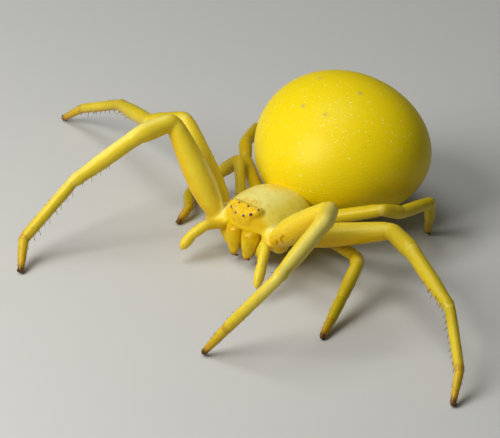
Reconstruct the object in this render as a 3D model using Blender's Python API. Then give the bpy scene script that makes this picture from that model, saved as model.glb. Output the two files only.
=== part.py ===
"""Crab spider, a still life-size model.

A heavy female flower crab spider in an ambush stance: the two long front pairs
of legs held wide, the two short hind pairs folded beside the abdomen.
Sizes are in millimetres and are turned into metres where a mesh is made.
The animal faces -Y, its left side is +X, and its feet stand on z = 0.
"""
import math

import bmesh
import bpy
from mathutils import Matrix, Vector

for leftover in list(bpy.data.objects):
    bpy.data.objects.remove(leftover, do_unlink=True)

MM = 0.001
GAP = 0.3               # between neighbouring pieces
EYE_GAP = 0.04          # the eyes are only 0.2 to 0.3 across, so they sit closer

# The body's stance: where the middle of the leg bases is, and how it leans
BODY_AT = Vector((0.13, 0.35, 1.65))
BODY_NOSE_DOWN = 5.0
BODY_LEFT_UP = 4.0

# Head and thorax under one shield, measured from the middle of the leg bases
SHIELD_REACH = {"front": 1.62, "side": 1.66, "back": 1.80}
SHIELD_EDGE = 0.02      # height of the shield's rim
SHIELD_HIGH = 0.98      # height of its crown
BELLY_DEEP = 0.72       # depth of the breast plate below the leg bases
EYE_BAND = {"wide": 0.74, "high": 0.84, "ahead": 1.20, "thick": 0.17}

# Abdomen: half sizes, and how far its middle lies behind and above the leg bases
ABDOMEN_HALF = Vector((3.75, 3.3, 2.82))
ABDOMEN_BACK = 4.45
ABDOMEN_UP = 0.85
ABDOMEN_NOSE_DOWN = 8.0
ABDOMEN_SWELL = 0.13    # how much fuller its rear half is than its front half
ABDOMEN_BELLY = 0.95    # its underside is a little flatter than its back
WAIST = {"from": (0, 1.3, -0.1), "to": (0, 2.4, 0.1), "radius": 0.34}

# Spinnerets: the middle of the cluster on the abdomen, then each pair's place beside
# and behind it, its length and its radius
SPINNERETS_AT = Vector((0, 2.35, -1.35))
SPINNERETS = ((0.25, 0.20, 0.66, 0.22), (0.21, -0.20, 0.66, 0.20))

# Leg pairs, front to back: where the leg leaves the body, and the lengths of
# femur, patella, tibia, metatarsus and tarsus
HIPS = {
    1: (1.50, -1.20, -0.12), 2: (1.85, -0.45, -0.25),
    3: (1.84, 0.56, -0.42), 4: (1.40, 1.22, -0.42),
}
LENGTHS = {
    1: (4.20, 1.55, 3.15, 2.95, 1.40), 2: (4.10, 1.55, 3.20, 2.90, 1.40),
    3: (2.30, 1.05, 1.68, 1.20, 0.92), 4: (3.05, 1.00, 1.80, 1.35, 0.95),
}
# Radii along a leg: hip, femur's swelling, femur's end, patella, tibia,
# tibia's end, metatarsus, metatarsus' end, tarsus' end
RADII = {
    1: (0.40, 0.56, 0.37, 0.38, 0.32, 0.27, 0.24, 0.23, 0.13),
    2: (0.38, 0.48, 0.36, 0.37, 0.31, 0.27, 0.24, 0.23, 0.13),
    3: (0.26, 0.28, 0.25, 0.28, 0.26, 0.24, 0.23, 0.21, 0.12),
    4: (0.27, 0.30, 0.26, 0.28, 0.26, 0.24, 0.23, 0.21, 0.12),
}
# Pose: the heading (0 straight ahead, 90 to the left, -90 to the right) and the
# rise above level of femur, patella, tibia and metatarsus, and the tarsus' heading,
# whose rise brings its tip down to the ground
POSE = {
    "1_left": ((79.5, 43.5), (30.5, 9.5), (7, -20), (-52, -53), -50),
    "2_left": ((111, 19), (70, -2), (68, -14), (48, -21), 29),
    "3_left": ((89, -3), (44, 11), (19, -24), (18, -23), 20),
    "4_left": ((109, 24), (164, -21), (177, -6), (-145, -62), -140),
    "1_right": ((-79, 57), (-17.5, -9.5), (-26, -32), (-14, -42), 40),
    "2_right": ((-105, 39), (-71, -20), (-113, -15), (-100, -28), -90),
    "3_right": ((-135, 18), (-79, -46), (-20, -26), (43, 3), 12),
    "4_right": ((-127, 2), (-137, 14), (-155, -6), (165, -50), 150),
}
BEND = 1.12             # radius of a leg's bends, as a share of the leg's own there
FOOT_HEIGHT = 0.1       # height of the tip's middle above the ground

CHELICERA = {"top": (0.40, -1.48, -0.32), "tip": (0.33, -1.73, -1.16),
             "wide": 0.34, "deep": 0.34}
PALP_BENDS = {
    "left": (
        (0.95, -1.30, -0.72), (1.90, -2.23, 0.15), (2.14, -2.73, -0.22), (2.38, -3.38, -0.90)),
    "right": (
        (-1.00, -1.30, -0.22), (-1.26, -2.17, 0.05), (-1.56, -2.70, -0.26),
        (-1.69, -3.22, -0.70)),
}
PALP_START = 0.7        # share of the first stretch that is left out beside the head
PALP_RADIUS = 0.22

# Eyes: place on the shield and lens radius, the right ones mirrored
EYES = {
    "front_median": ((0.23, -1.62, 0.72), 0.11),
    "front_lateral": ((0.56, -1.45, 0.82), 0.14),
    "rear_median": ((0.25, -1.25, 0.98), 0.09),
    "rear_lateral": ((0.68, -1.10, 0.90), 0.11),
}

YELLOW = (0.80, 0.62, 0.02)
CREAM = (0.80, 0.72, 0.24)
AMBER = (0.78, 0.45, 0.02)
DARK = (0.03, 0.01, 0.01)


def direction(heading, rise):
    """Unit vector for a heading seen from above and a rise above level."""
    turn, lift = math.radians(heading), math.radians(rise)
    return Vector((
        math.cos(lift) * math.sin(turn), -math.cos(lift) * math.cos(turn), math.sin(lift)))


BODY_FRAME = (
    Matrix.Translation(BODY_AT)
    @ Matrix.Rotation(math.radians(-BODY_LEFT_UP), 4, "Y")
    @ Matrix.Rotation(math.radians(BODY_NOSE_DOWN), 4, "X"))


ABDOMEN_FRAME = (
    BODY_FRAME
    @ Matrix.Translation((0, ABDOMEN_BACK, ABDOMEN_UP))
    @ Matrix.Rotation(math.radians(ABDOMEN_NOSE_DOWN), 4, "X"))


def material(name, colour, roughness):
    """A plain Principled finish for one kind of skin."""
    made = bpy.data.materials.new(name)
    made.use_nodes = True
    shader = made.node_tree.nodes["Principled BSDF"]
    shader.inputs["Base Color"].default_value = (*colour, 1.0)
    shader.inputs["Roughness"].default_value = roughness
    shader.inputs["Metallic"].default_value = 0.0
    return made


def ring(centre, across, up, half_across, half_up, sides):
    """An elliptic ring of points."""
    points = []
    for side in range(sides):
        angle = 2 * math.pi * side / sides
        points.append(
            centre + across * (half_across * math.cos(angle)) + up * (half_up * math.sin(angle)))
    return points


def skin(rings, first_pole=None, last_pole=None):
    """Joins rings of equal count into a closed bmesh, with a pole or a flat cap at each end."""
    mesh = bmesh.new()
    rows = [[mesh.verts.new(point) for point in points] for points in rings]
    for row, following in zip(rows, rows[1:]):
        count = len(row)
        for index in range(count):
            beside = (index + 1) % count
            mesh.faces.new((row[index], row[beside], following[beside], following[index]))
    for row, pole in ((rows[0], first_pole), (rows[-1], last_pole)):
        if pole is None:
            mesh.faces.new(row)
            continue
        tip = mesh.verts.new(pole)
        for index in range(len(row)):
            mesh.faces.new((row[index], row[(index + 1) % len(row)], tip))
    bmesh.ops.recalc_face_normals(mesh, faces=mesh.faces)
    return mesh


def piece(name, mesh, finish, frame=None):
    """Turns a bmesh in millimetres into a named object in metres, placed by its middle."""
    if frame is not None:
        mesh.transform(frame)
    low = Vector([min(vert.co[axis] for vert in mesh.verts) for axis in range(3)])
    high = Vector([max(vert.co[axis] for vert in mesh.verts) for axis in range(3)])
    middle = (low + high) / 2
    mesh.transform(Matrix.Scale(MM, 4) @ Matrix.Translation(-middle))
    data = bpy.data.meshes.new(name)
    mesh.to_mesh(data)
    mesh.free()
    data.materials.append(finish)
    data.shade_smooth()
    data.set_sharp_from_angle(angle=math.radians(50))
    made = bpy.data.objects.new(name, data)
    made.location = middle * MM
    bpy.context.scene.collection.objects.link(made)
    return made


def keep_largest_body(mesh):
    """Removes every closed surface but the one with the most faces."""
    left = set(mesh.faces)
    bodies = []
    while left:
        found, edge_of_search = set(), [left.pop()]
        while edge_of_search:
            face = edge_of_search.pop()
            found.add(face)
            for edge in face.edges:
                for beside in edge.link_faces:
                    if beside in left:
                        left.discard(beside)
                        edge_of_search.append(beside)
        bodies.append(found)
    largest = max(bodies, key=len)
    scraps = [face for body in bodies if body is not largest for face in body]
    bmesh.ops.delete(mesh, geom=scraps, context="FACES")
    loose = [vert for vert in mesh.verts if not vert.link_faces]
    bmesh.ops.delete(mesh, geom=loose, context="VERTS")


def fuse(base, others, operation="UNION"):
    """One Boolean on a collection of closed pieces, applied, and the pieces removed."""
    group = bpy.data.collections.new(base.name + "_pieces")
    bpy.context.scene.collection.children.link(group)
    for other in others:
        bpy.context.scene.collection.objects.unlink(other)
        group.objects.link(other)
    boolean = base.modifiers.new("pieces", "BOOLEAN")
    boolean.operation = operation
    boolean.operand_type = "COLLECTION"
    boolean.collection = group
    boolean.solver = "EXACT"
    bpy.context.view_layer.update()
    evaluated = base.evaluated_get(bpy.context.evaluated_depsgraph_get())
    result = bpy.data.meshes.new_from_object(evaluated)
    base.modifiers.remove(boolean)
    plain = base.data
    base.data = result
    bpy.data.meshes.remove(plain)
    for other in others:
        bpy.data.objects.remove(other, do_unlink=True)
    bpy.data.collections.remove(group)
    mesh = bmesh.new()
    mesh.from_mesh(base.data)
    keep_largest_body(mesh)
    mesh.to_mesh(base.data)
    mesh.free()


YELLOW_SKIN = material("yellow_skin", YELLOW, 0.35)
CREAM_SHIELD = material("cream_shield", CREAM, 0.35)
LEMON_ABDOMEN = material("lemon_abdomen", YELLOW, 0.3)
AMBER_JAW = material("amber_jaw", AMBER, 0.3)
EYE_DARK = material("eye_dark", DARK, 0.1)


class Limb:
    """A bent limb: straight runs between joints, joined by round bends."""

    def __init__(self, joints, bends, back):
        self.joints = joints
        self.runs = [(after - before).normalized() for before, after in zip(joints, joints[1:])]
        self.lengths = [(after - before).length for before, after in zip(joints, joints[1:])]
        self.bends = bends          # radius of the round bend at each inner joint
        self.back = back            # which way the limb's back faces at its start

    def turn(self, joint):
        return self.runs[joint - 1].angle(self.runs[joint])

    def setback(self, joint):
        """How far from a joint its round bend starts and ends."""
        wanted = self.bends[joint - 1] * math.tan(self.turn(joint) / 2)
        return min(wanted, 0.6 * self.lengths[joint - 1], 0.6 * self.lengths[joint])

    def along(self, run, share, start_room=0.0, end_room=0.0):
        """A place on a straight run, between what its two bends leave of it."""
        first = start_room + (self.setback(run) if run > 0 else 0.0)
        last = self.lengths[run] - end_room
        if run < len(self.runs) - 1:
            last -= self.setback(run + 1)
        distance = first + share * (last - first)
        return self.joints[run] + self.runs[run] * distance, self.runs[run]

    def round_bend(self, joint, steps):
        """Places along the round bend at a joint, its two ends included."""
        angle = self.turn(joint)
        before, after = self.runs[joint - 1], self.runs[joint]
        inward = (after - before * math.cos(angle)).normalized()
        radius = self.setback(joint) / math.tan(angle / 2)
        start = self.joints[joint] - before * self.setback(joint)
        places = []
        for step in range(steps + 1):
            part = angle * step / steps
            centre = start + before * (radius * math.sin(part)) + inward * (
                radius * (1 - math.cos(part)))
            places.append((centre, before * math.cos(part) + inward * math.sin(part)))
        return places


def tube_rings(stations, back, sides):
    """Rings along places with a direction and two radii, turning as little as they can."""
    rings = []
    for (centre, heading), (half_across, half_up) in stations:
        back = (back - heading * back.dot(heading)).normalized()
        across = heading.cross(back)
        rings.append(ring(centre, across, back, half_across, half_up, sides))
    return rings, back


def stand_on_ground(mesh):
    """Cuts a foot off flat where it meets the ground."""
    everything = mesh.verts[:] + mesh.edges[:] + mesh.faces[:]
    bmesh.ops.bisect_plane(
        mesh, geom=everything, plane_co=(0, 0, 0), plane_no=(0, 0, 1), clear_inner=True)
    rim = [edge for edge in mesh.edges if edge.is_boundary]
    bmesh.ops.holes_fill(mesh, edges=rim)
    bmesh.ops.recalc_face_normals(mesh, faces=mesh.faces)


def leg_joints(side, pair):
    """World places of a leg's root, hip, knee and other joints down to its tip."""
    hip_place = Vector(HIPS[pair])
    root = Vector((0.45 * hip_place.x, 0.62 * hip_place.y, hip_place.z - 0.08))
    if side == "right":
        hip_place.x, root.x = -hip_place.x, -root.x
    joints = [BODY_FRAME @ root, BODY_FRAME @ hip_place]
    *pose, tarsus_heading = POSE[f"{pair}_{side}"]
    lengths = LENGTHS[pair]
    for (heading, rise), length in zip(pose, lengths):
        joints.append(joints[-1] + direction(heading, rise) * length)
    drop = (joints[-1].z - FOOT_HEIGHT) / lengths[-1]
    tarsus = direction(tarsus_heading, -math.degrees(math.asin(drop)))
    joints.append(joints[-1] + tarsus * lengths[-1])
    return joints


def make_leg(side, pair):
    """A leg in three nodes, and the coxa that will be fused to the body."""
    hip, swell, femur_end, patella, tibia, tibia_end, metatarsus, metatarsus_end, tip = RADII[pair]
    sides = 12 if pair < 3 else 10
    joints = leg_joints(side, pair)
    bends = [BEND * radius for radius in (hip, patella, patella, tibia_end, metatarsus_end)]
    limb = Limb(joints, bends, Vector((0, 0, 1)))
    knee_turn = limb.runs[2] - limb.runs[1] * limb.runs[2].dot(limb.runs[1])
    limb.back = -knee_turn.normalized()
    name = f"leg_{pair}_{side}"

    coxa = [(limb.along(0, 0.0), (hip * 0.9, hip * 0.9)), (limb.along(0, 0.55), (hip, hip))]
    coxa += [(place, (hip * 0.98, hip * 0.98)) for place in limb.round_bend(1, 3)]
    rings, back = tube_rings(coxa, limb.back, sides)
    coxa_piece = piece(name + "_coxa", skin(rings), YELLOW_SKIN)

    femur_shape = (
        (0.0, hip * 0.9), (0.12, (hip + swell) / 2), (0.3, swell), (0.5, swell * 0.98),
        (0.72, (swell + femur_end) / 2), (0.9, femur_end * 1.03), (1.0, femur_end * 0.96))
    femur = [
        (limb.along(1, share, start_room=GAP, end_room=GAP), (radius * 0.95, radius))
        for share, radius in femur_shape]
    rings, back = tube_rings(femur, back, sides)
    piece(name + "_femur", skin(rings), YELLOW_SKIN)

    knee_steps = max(3, round(math.degrees(limb.turn(2)) / 22))
    shin = [(place, (patella * 0.97, patella)) for place in limb.round_bend(2, knee_steps)]
    shin.append((limb.along(2, 0.6), (patella, patella)))
    shin += [(place, (tibia * 1.04, tibia * 1.04)) for place in limb.round_bend(3, 3)]
    shin += [
        (limb.along(3, share, end_room=GAP), (radius, radius))
        for share, radius in ((0.12, tibia), (0.5, tibia), (0.85, tibia_end), (1.0, tibia_end))]
    rings, back = tube_rings(shin, back, sides)
    piece(name + "_tibia", skin(rings), YELLOW_SKIN)

    foot = [(place, (metatarsus, metatarsus)) for place in limb.round_bend(4, 3)]
    foot += [
        (limb.along(4, 0.5), (metatarsus, metatarsus)),
        (limb.along(4, 0.92), (metatarsus_end, metatarsus_end))]
    foot += [(place, (metatarsus_end * 0.95,) * 2) for place in limb.round_bend(5, 3)]
    foot += [
        (limb.along(5, share), (radius, radius))
        for share, radius in ((0.5, (metatarsus_end + tip) / 2), (1.0, tip))]
    tip_place, tip_run = limb.along(5, 1.0)
    foot.append(((tip_place + tip_run * (0.6 * tip), tip_run), (tip * 0.8, tip * 0.8)))
    rings, back = tube_rings(foot, back, sides)
    foot_mesh = skin(rings, last_pole=tip_place + tip_run * tip)
    stand_on_ground(foot_mesh)
    piece(name + "_foot", foot_mesh, YELLOW_SKIN)
    return coxa_piece


def shield_point(turn, climb):
    """A point of the shield: turn goes round from straight ahead, climb from crown to rim."""
    ahead, aside = math.cos(turn), math.sin(turn)
    reach = SHIELD_REACH["front"] if ahead > 0 else SHIELD_REACH["back"]
    squareness = 2 / 2.2
    x = SHIELD_REACH["side"] * math.copysign(abs(aside) ** squareness, aside)
    y = -reach * math.copysign(abs(ahead) ** squareness, ahead)
    face = max(0.0, ahead) ** 2             # the steep face below the eyes
    spread = math.sin(climb) ** (1.0 - 0.40 * face)
    height = math.cos(climb) ** (1.5 - 0.90 * face)
    return Vector((x * spread, y * spread, SHIELD_EDGE + (SHIELD_HIGH - SHIELD_EDGE) * height))


def make_head_and_thorax(coxae):
    """Shield, eye band and breast plate as one closed body, with the coxae fused to it."""
    turns = [2 * math.pi * step / 32 for step in range(32)]
    climbs = [math.radians(angle) for angle in (10, 21, 32, 43, 54, 64, 73, 81, 87, 90)]
    rings = [[shield_point(turn, climb) for turn in turns] for climb in climbs]
    crown = Vector((0, 0, SHIELD_HIGH))
    for share, below, hollow in (
            (0.985, 0.05, 0.0), (0.95, 0.15, 0.38), (0.86, 0.30, 0.46), (0.68, 0.52, 0.42),
            (0.40, 0.67, 0.3)):
        ring_below = []
        for turn in turns:
            point = shield_point(turn, math.pi / 2)
            jaw_room = 1 - hollow * max(0.0, math.cos(turn)) ** 3
            ring_below.append(Vector((point.x * share, point.y * share * jaw_room, -below)))
        rings.append(ring_below)
    body_mesh = skin(rings, first_pole=crown, last_pole=Vector((0, 0, -BELLY_DEEP)))
    body = piece("head_and_thorax", body_mesh, CREAM_SHIELD, BODY_FRAME)

    band_rings = []
    for step in range(1, 8):
        share = step / 4 - 1
        width = math.sqrt(1 - abs(share) ** 2.5)
        centre = Vector((
            share * EYE_BAND["wide"],
            -EYE_BAND["ahead"] + 0.2 * share * share,
            EYE_BAND["high"] - 0.1 * share * share))
        band_rings.append(ring(
            centre, Vector((0, 1, 0)), Vector((0, 0, 1)),
            EYE_BAND["thick"] * 1.2 * width, EYE_BAND["thick"] * width, 10))
    ends = [Vector((
        side * EYE_BAND["wide"] * 0.98, -EYE_BAND["ahead"] + 0.2, EYE_BAND["high"] - 0.1))
        for side in (-1, 1)]
    band = piece("eye_band", skin(band_rings, *ends), CREAM_SHIELD, BODY_FRAME)

    start, end = Vector(WAIST["from"]), Vector(WAIST["to"])
    run = (end - start).normalized()
    waist_rings, _ = tube_rings(
        [((start, run), (WAIST["radius"],) * 2), ((end, run), (WAIST["radius"],) * 2)],
        Vector((0, 0, 1)), 12)
    waist = piece("waist", skin(waist_rings), CREAM_SHIELD, BODY_FRAME)
    fuse(body, [*coxae, band, waist])
    fuse(body, [abdomen_egg("abdomen_room", GAP)], "DIFFERENCE")
    return body


def ball(name, centre, radius, finish, rows=6, sides=12):
    """A small round piece."""
    rings = []
    for row in range(1, rows):
        angle = math.pi * row / rows
        middle = centre + Vector((0, 0, radius * math.cos(angle)))
        flat = radius * math.sin(angle)
        rings.append(ring(middle, Vector((1, 0, 0)), Vector((0, 1, 0)), flat, flat, sides))
    top, bottom = centre + Vector((0, 0, radius)), centre - Vector((0, 0, radius))
    return piece(name, skin(rings, top, bottom), finish)


def set_eyes(body):
    """Eight lenses, each sunk by half in a round socket of the eye band."""
    bpy.context.view_layer.update()
    sockets, lenses = [], []
    inverse = body.matrix_world.inverted()
    for eye, (place, radius) in EYES.items():
        for side, mirror in (("left", 1), ("right", -1)):
            wanted = BODY_FRAME @ Vector((place[0] * mirror, place[1], place[2]))
            hit, surface, normal, _ = body.closest_point_on_mesh(inverse @ (wanted * MM))
            centre = (body.matrix_world @ surface) / MM - normal * (0.3 * radius)
            lenses.append((f"eye_{eye}_{side}", centre, radius))
            sockets.append(ball(
                f"socket_{eye}_{side}", centre, radius + EYE_GAP, CREAM_SHIELD, 7, 14))
    fuse(body, sockets, "DIFFERENCE")
    for name, centre, radius in lenses:
        ball(name, centre, radius, EYE_DARK)


def make_chelicera(side, mirror):
    """A jaw's broad base, tapering down to a small fang."""
    top, tip = Vector(CHELICERA["top"]), Vector(CHELICERA["tip"])
    top.x, tip.x = top.x * mirror, tip.x * mirror
    shape = (
        (0.0, 0.88), (0.1, 0.98), (0.3, 1.0), (0.55, 0.88), (0.78, 0.64), (0.92, 0.42), (1.0, 0.24))
    rings = []
    for share, fullness in shape:
        rings.append(ring(
            top.lerp(tip, share), Vector((1, 0, 0)), Vector((0, 1, 0)),
            CHELICERA["wide"] * fullness, CHELICERA["deep"] * fullness, 12))
    mesh = skin(rings, last_pole=tip + (tip - top) * 0.06)
    piece(f"chelicera_{side}", mesh, AMBER_JAW, BODY_FRAME)


def make_palp(side):
    """A short feeler beside the jaws."""
    joints = [BODY_FRAME @ Vector(place) for place in PALP_BENDS[side]]
    limb = Limb(joints, (BEND * PALP_RADIUS,) * 2, Vector((0, 0, 1)))
    hidden = PALP_START * limb.lengths[0]
    stations = [
        (limb.along(0, share, start_room=hidden), (radius, radius))
        for share, radius in ((0.0, PALP_RADIUS * 0.85), (0.5, PALP_RADIUS * 0.9))]
    stations += [(place, (PALP_RADIUS, PALP_RADIUS)) for place in limb.round_bend(1, 4)]
    stations += [(place, (PALP_RADIUS, PALP_RADIUS)) for place in limb.round_bend(2, 2)]
    stations += [
        (limb.along(2, share), (PALP_RADIUS * fullness,) * 2)
        for share, fullness in ((0.35, 1.0), (0.7, 0.85), (0.92, 0.55))]
    rings, _ = tube_rings(stations, limb.back, 10)
    piece(f"palp_{side}", skin(rings, last_pole=joints[-1]), YELLOW_SKIN)


def abdomen_egg(name, grown=0.0):
    """The swollen abdomen as an egg, or the same egg grown all round by some room."""
    half = ABDOMEN_HALF + Vector((grown, grown, grown))
    rings = []
    rows = 20
    for row in range(1, rows):
        angle = math.pi * row / rows
        fullness = math.sin(angle) * (1 - ABDOMEN_SWELL * math.cos(angle))
        points = []
        for side in range(32):
            around = 2 * math.pi * side / 32
            height = math.sin(around)
            tall = half.z if height > 0 else half.z * ABDOMEN_BELLY
            points.append(Vector((
                half.x * fullness * math.cos(around), -half.y * math.cos(angle),
                tall * fullness * height)))
        rings.append(points)
    mesh = skin(rings, Vector((0, -half.y, 0)), Vector((0, half.y, 0)))
    return piece(name, mesh, LEMON_ABDOMEN, ABDOMEN_FRAME)


def make_abdomen():
    """The abdomen with its cluster of spinnerets below the rear end."""
    abdomen = abdomen_egg("abdomen")
    teats = []
    for number, (aside, back, length, radius) in enumerate(SPINNERETS):
        for mirror in (1, -1):
            start = SPINNERETS_AT + Vector((mirror * aside, back, 0))
            run = Vector((mirror * 0.15, 0.75, -0.55)).normalized()
            shape = ((0.0, 1.0), (0.55, 0.95), (0.85, 0.7), (1.0, 0.4))
            stations = [((start + run * (length * share), run), (radius * full,) * 2)
                        for share, full in shape]
            rings, _ = tube_rings(stations, Vector((0, 0, 1)), 10)
            teats.append(piece(
                f"teat_{number}_{mirror}", skin(rings), LEMON_ABDOMEN, ABDOMEN_FRAME))
    fuse(abdomen, teats)


coxae = [make_leg(side, pair) for side in ("left", "right") for pair in HIPS]
trunk = make_head_and_thorax(coxae)
set_eyes(trunk)
for side, mirror in (("left", 1), ("right", -1)):
    make_chelicera(side, mirror)
    make_palp(side)
make_abdomen()
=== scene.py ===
"""Crab spider: the finish of a still, life-size model in an ambush stance.

Sizes are in millimetres and are turned into metres when a piece is finished.
The animal faces -Y, its left side is +X, and its feet stand on z = 0.
"""

import math

import bpy
import numpy as np
from mathutils import Matrix, Vector, kdtree


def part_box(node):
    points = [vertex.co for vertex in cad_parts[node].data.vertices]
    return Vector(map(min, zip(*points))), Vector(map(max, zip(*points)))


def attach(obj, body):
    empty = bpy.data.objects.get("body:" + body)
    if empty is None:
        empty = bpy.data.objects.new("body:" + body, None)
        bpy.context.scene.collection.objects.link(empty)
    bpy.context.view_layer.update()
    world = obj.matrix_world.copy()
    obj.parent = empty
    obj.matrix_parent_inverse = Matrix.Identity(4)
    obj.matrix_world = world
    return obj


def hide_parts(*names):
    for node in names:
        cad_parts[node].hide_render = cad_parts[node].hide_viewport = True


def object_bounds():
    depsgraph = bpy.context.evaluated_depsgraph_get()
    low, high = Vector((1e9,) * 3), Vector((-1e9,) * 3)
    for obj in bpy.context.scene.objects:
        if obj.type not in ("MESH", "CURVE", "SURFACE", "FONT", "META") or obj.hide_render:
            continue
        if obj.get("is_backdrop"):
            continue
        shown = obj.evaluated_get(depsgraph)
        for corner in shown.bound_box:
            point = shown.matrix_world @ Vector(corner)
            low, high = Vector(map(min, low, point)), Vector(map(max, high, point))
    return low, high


MM = 0.001

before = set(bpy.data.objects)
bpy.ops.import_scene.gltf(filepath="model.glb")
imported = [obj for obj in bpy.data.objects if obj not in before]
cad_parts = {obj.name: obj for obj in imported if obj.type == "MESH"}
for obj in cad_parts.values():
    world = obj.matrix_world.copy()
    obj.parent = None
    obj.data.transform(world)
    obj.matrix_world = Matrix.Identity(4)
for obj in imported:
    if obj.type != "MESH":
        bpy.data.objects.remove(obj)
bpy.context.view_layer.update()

# The stance. The body hangs between its legs with the nose a little down and its
# left side a little up, and each leg is a chain of straight segments: the heading
# (0 straight ahead, 90 to the left) and the rise above level of femur, patella,
# tibia and metatarsus, and the heading of the tarsus that reaches the ground.
BODY_AT = Vector((0.13, 0.35, 1.65))
BODY_NOSE_DOWN = 5.0
BODY_LEFT_UP = 4.0
BODY_FRAME = (
    Matrix.Translation(BODY_AT)
    @ Matrix.Rotation(math.radians(-BODY_LEFT_UP), 4, "Y")
    @ Matrix.Rotation(math.radians(BODY_NOSE_DOWN), 4, "X"))

HIPS = {
    1: (1.50, -1.20, -0.12), 2: (1.85, -0.45, -0.25),
    3: (1.84, 0.56, -0.42), 4: (1.40, 1.22, -0.42),
}
LENGTHS = {
    1: (4.20, 1.55, 3.15, 2.95, 1.40), 2: (4.10, 1.55, 3.20, 2.90, 1.40),
    3: (2.30, 1.05, 1.68, 1.20, 0.92), 4: (3.05, 1.00, 1.80, 1.35, 0.95),
}
POSE = {
    "1_left": ((79.5, 43.5), (30.5, 9.5), (7, -20), (-52, -53), -50),
    "2_left": ((111, 19), (70, -2), (68, -14), (48, -21), 29),
    "3_left": ((90, -4), (42.5, 13), (19, -24), (18, -23), 20),
    "4_left": ((109, 24), (164, -21), (177, -6), (-145, -62), -140),
    "1_right": ((-79, 57), (-17.5, -9.5), (-26, -32), (-14, -42), 40),
    "2_right": ((-107, 36), (-71, -20), (-113, -13.5), (-100, -28), -90),
    "3_right": ((-135, 18), (-79, -46), (-20, -26), (43, 3), 12),
    "4_right": ((-127, 2), (-137, 14), (-155, -6), (165, -50), 150),
}
FOOT_HEIGHT = 0.1
ROOT_SHARE = (0.45, 0.62)   # a leg's root inside the body, as shares of its hip's place
ROOT_LOWER = 0.08
PALP_BENDS = {
    "left": (
        (0.95, -1.30, -0.72), (1.90, -2.23, 0.15), (2.14, -2.73, -0.22), (2.38, -3.38, -0.90)),
    "right": (
        (-1.00, -1.30, -0.22), (-1.26, -2.17, 0.05), (-1.56, -2.70, -0.26),
        (-1.69, -3.22, -0.70)),
}


def direction(heading, rise):
    """Unit vector for a heading seen from above and a rise above level."""
    turn, lift = math.radians(heading), math.radians(rise)
    return Vector((
        math.cos(lift) * math.sin(turn), -math.cos(lift) * math.cos(turn), math.sin(lift)))


def leg_joints(side, pair):
    """World places of a leg's root, hip, knee and other joints down to its tip."""
    hip_place = Vector(HIPS[pair])
    root = Vector((
        ROOT_SHARE[0] * hip_place.x, ROOT_SHARE[1] * hip_place.y, hip_place.z - ROOT_LOWER))
    if side == "right":
        hip_place.x, root.x = -hip_place.x, -root.x
    joints = [BODY_FRAME @ root, BODY_FRAME @ hip_place]
    *pose, tarsus_heading = POSE[f"{pair}_{side}"]
    for (heading, rise), length in zip(pose, LENGTHS[pair]):
        joints.append(joints[-1] + direction(heading, rise) * length)
    tarsus_length = LENGTHS[pair][-1]
    drop = (joints[-1].z - FOOT_HEIGHT) / tarsus_length
    joints.append(joints[-1] + direction(
        tarsus_heading, -math.degrees(math.asin(drop))) * tarsus_length)
    return joints


# The limbs' shape: eight legs and two feelers, each a tube that swells and narrows
# along its segments, with a shallow groove where the soft joint skin shows.
# A limb's station counts its segments: 1.5 is half way along the femur.
LEG_RADII = {
    1: (0.40, 0.56, 0.37, 0.38, 0.32, 0.27, 0.24, 0.23, 0.13),
    2: (0.38, 0.48, 0.36, 0.37, 0.31, 0.26, 0.22, 0.205, 0.12),
    3: (0.24, 0.22, 0.24, 0.28, 0.26, 0.24, 0.23, 0.21, 0.12),
    4: (0.27, 0.30, 0.26, 0.28, 0.26, 0.24, 0.23, 0.21, 0.12),
}
PALP_RADIUS = 0.22
BEND = 0.55              # roundness of a joint's bend, as a share of the limb's radius
BEND_LIMIT = 0.6         # the most of a segment that a bend may take
BEND_STEP = 8            # degrees from ring to ring round a bend
GROOVE_DEPTH = 0.10
GROOVE_WIDTH = 0.13
RING_STEP = 0.11


def leg_profile(pair):
    """Stations along a leg and the leg's radius at each."""
    hip, swell, femur_end, patella, tibia, tibia_end, metatarsus, metatarsus_end, tip = (
        LEG_RADII[pair])
    return (
        (0.0, hip * 0.9), (0.5, hip), (0.95, hip * 1.0), (1.06, hip * 0.94),
        (1.16, (hip + swell) / 2), (1.32, swell), (1.5, swell * 0.97),
        (1.74, (swell + femur_end) / 2), (1.92, femur_end * 1.04), (2.0, femur_end * 0.97),
        (2.1, patella * 0.95), (2.45, patella * 0.98), (2.8, patella * 1.03), (3.0, patella),
        (3.12, tibia), (3.3, tibia * 1.02), (3.6, tibia), (3.85, tibia_end),
        (3.95, tibia_end * 1.06), (4.03, metatarsus), (4.3, metatarsus),
        (4.9, metatarsus_end), (4.97, metatarsus_end * 1.04), (5.05, metatarsus_end * 0.93),
        (5.5, (metatarsus_end + tip) / 2), (5.92, tip * 1.05), (6.0, tip * 0.85))


def palp_profile():
    """The same for a feeler, whose segments are fewer."""
    return [(station, PALP_RADIUS * share) for station, share in (
        (0.0, 0.8), (0.5, 0.86), (0.95, 1.02), (1.5, 0.98), (2.0, 1), (2.4, 1.03),
        (2.75, 0.84), (2.95, 0.5), (3.0, 0.3))]


def turns_round(count):
    """So many even turns round a circle."""
    return np.linspace(0, 2 * np.pi, count, endpoint=False)


def circle(place, across, back, radius, sides):
    """A ring of points round a place."""
    angles = turns_round(sides)
    return place + radius * (np.outer(np.cos(angles), across) + np.outer(np.sin(angles), back))


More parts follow.
